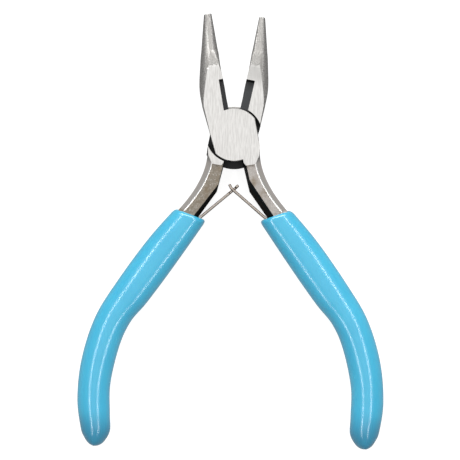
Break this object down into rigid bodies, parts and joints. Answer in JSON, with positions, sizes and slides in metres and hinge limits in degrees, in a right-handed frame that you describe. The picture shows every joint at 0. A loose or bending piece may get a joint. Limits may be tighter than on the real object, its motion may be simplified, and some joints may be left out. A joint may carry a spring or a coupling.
{
  "type": "round nose pliers",
  "caption": "Small jewellery pliers with tapered round nose jaws, a lap joint, side cutters at the jaw roots, crossed leaf springs and dipped grips.",
  "frame": {"origin": "on the pivot axis, on the back face of the joint", "axes": "+Y along the jaws, away from the handles; +Z along the pivot axis, out of the front face; +X to the right of the jaws"},
  "size_m": [0.0878, 0.1247, 0.0084],
  "materials": {
    "forged_steel": "satin and ground tool steel, blackened where it was not ground",
    "rivet_steel": "ground flush with the joint",
    "spring_steel": "rolled spring strip",
    "grip_vinyl": "glossy dipped vinyl, sky blue"
  },
  "bodies": {
    "front_half": {"front_half": "forged_steel", "pivot_rivet": "rivet_steel", "right_leaf_spring": "spring_steel", "right_spring_rivet": "rivet_steel", "right_grip": "grip_vinyl"},
    "back_half": {"back_half": "forged_steel", "left_leaf_spring": "spring_steel", "left_spring_rivet": "rivet_steel", "left_grip": "grip_vinyl"}
  },
  "joints": [
    {"name": "jaw_pivot", "type": "hinge", "parent": "front_half", "child": "back_half", "pos_m": [0, 0, 0], "axis": [0, 0, 1], "range_deg": [-6, 22], "stiffness_Nm_per_rad": 0.7, "deforming": ["right_leaf_spring", "left_leaf_spring"]}
  ]
}
